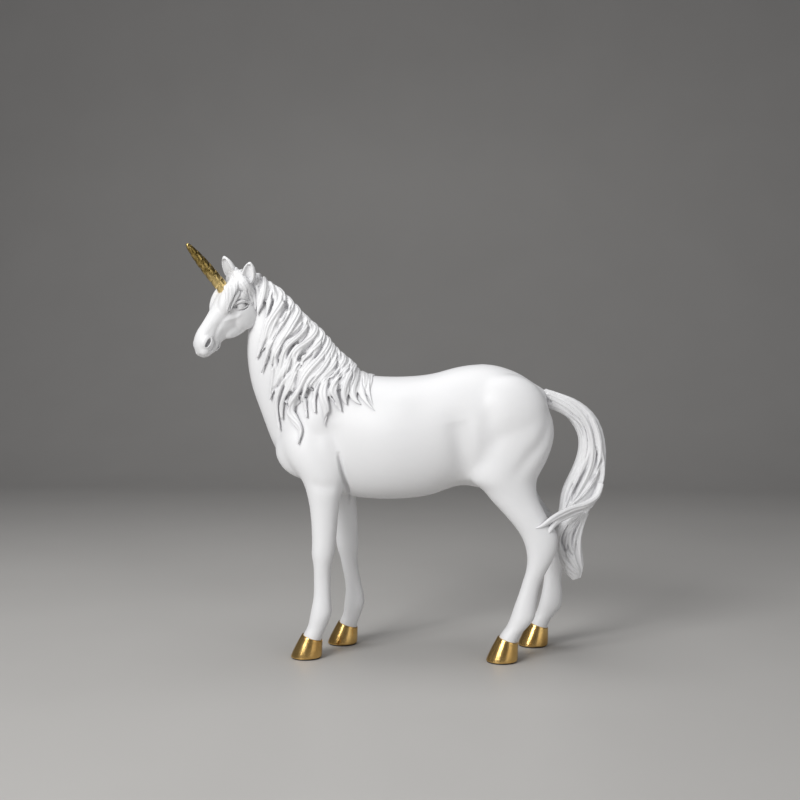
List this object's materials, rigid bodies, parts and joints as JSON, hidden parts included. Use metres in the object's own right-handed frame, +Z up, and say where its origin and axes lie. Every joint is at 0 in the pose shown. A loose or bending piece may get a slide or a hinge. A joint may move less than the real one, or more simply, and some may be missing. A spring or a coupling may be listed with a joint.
{
  "type": "unicorn figurine",
  "caption": "Standing unicorn ornament in satin white resin, head turned to its left, with a gold spiral horn, gold hooves, a long wavy mane and a long tail.",
  "frame": {"origin": "on the table under the middle of the figurine's box", "axes": "+Z up; the animal faces -X with its tail towards +X; its left side, which the head turns to and the mane lies on, is towards -Y"},
  "size_m": [0.283, 0.0684, 0.2791],
  "materials": {
    "resin": "satin white lacquer on cast polyresin",
    "gold": "polished gold plating on cast resin",
    "steel": "plain drawn wire",
    "pad": "thin dark non-slip pad"
  },
  "bodies": {
    "root": {"body": "resin", "dowel_horn": "steel", "dowel_neck": "steel", "dowel_tail": "steel", "forelock": "resin", "head": "resin", "hoof_front_left": "gold", "hoof_front_right": "gold", "hoof_hind_left": "gold", "hoof_hind_right": "gold", "horn": "gold", "leg_front_left": "resin", "leg_front_right": "resin", "leg_hind_left": "resin", "leg_hind_right": "resin", "mane": "resin", "pad_front_left": "pad", "pad_front_right": "pad", "pad_hind_left": "pad", "pad_hind_right": "pad", "tail": "resin", "wire_front_left": "steel", "wire_front_right": "steel", "wire_hind_left": "steel", "wire_hind_right": "steel"}
  },
  "joints": []
}
